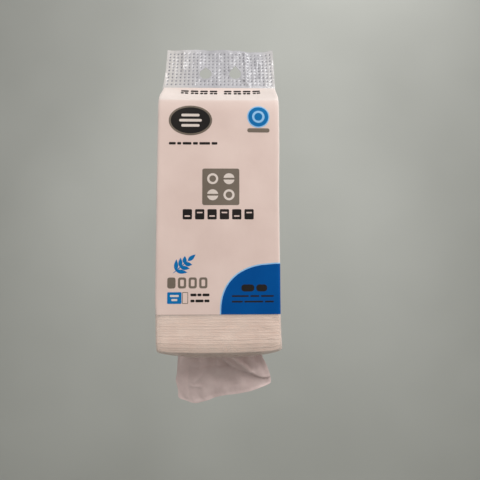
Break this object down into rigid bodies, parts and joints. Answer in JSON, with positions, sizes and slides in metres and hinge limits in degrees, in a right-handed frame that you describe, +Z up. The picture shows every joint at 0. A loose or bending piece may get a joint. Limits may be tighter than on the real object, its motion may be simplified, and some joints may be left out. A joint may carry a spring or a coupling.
{
  "type": "hanging pack of facial tissues",
  "caption": "Hanging film bag of folded facial tissues, with a two-hole welded header at the top and a mouth at the bottom that one tissue hangs from.",
  "frame": {"origin": "middle of the block's flat back face, which leans on the wall", "axes": "+Z up, -Y out of the printed front, +Y towards the wall, +X to the right seen from the front"},
  "size_m": [0.126, 0.0855, 0.4055],
  "materials": {
    "bag_film": "thin soft translucent film",
    "tissue": "soft matte tissue",
    "white_ink": "satin print",
    "blue_ink": "satin print",
    "pale_blue_ink": "satin print",
    "dark_ink": "satin print",
    "grey_ink": "satin print",
    "light_ink": "satin print"
  },
  "bodies": {
    "root": {"film_bag": "bag_film", "tissue_stack": "tissue", "pulled_tissue": "tissue", "print_white": "white_ink", "print_blue": "blue_ink", "print_pale_blue": "pale_blue_ink", "print_dark": "dark_ink", "print_grey": "grey_ink", "print_light": "light_ink"}
  },
  "joints": []
}
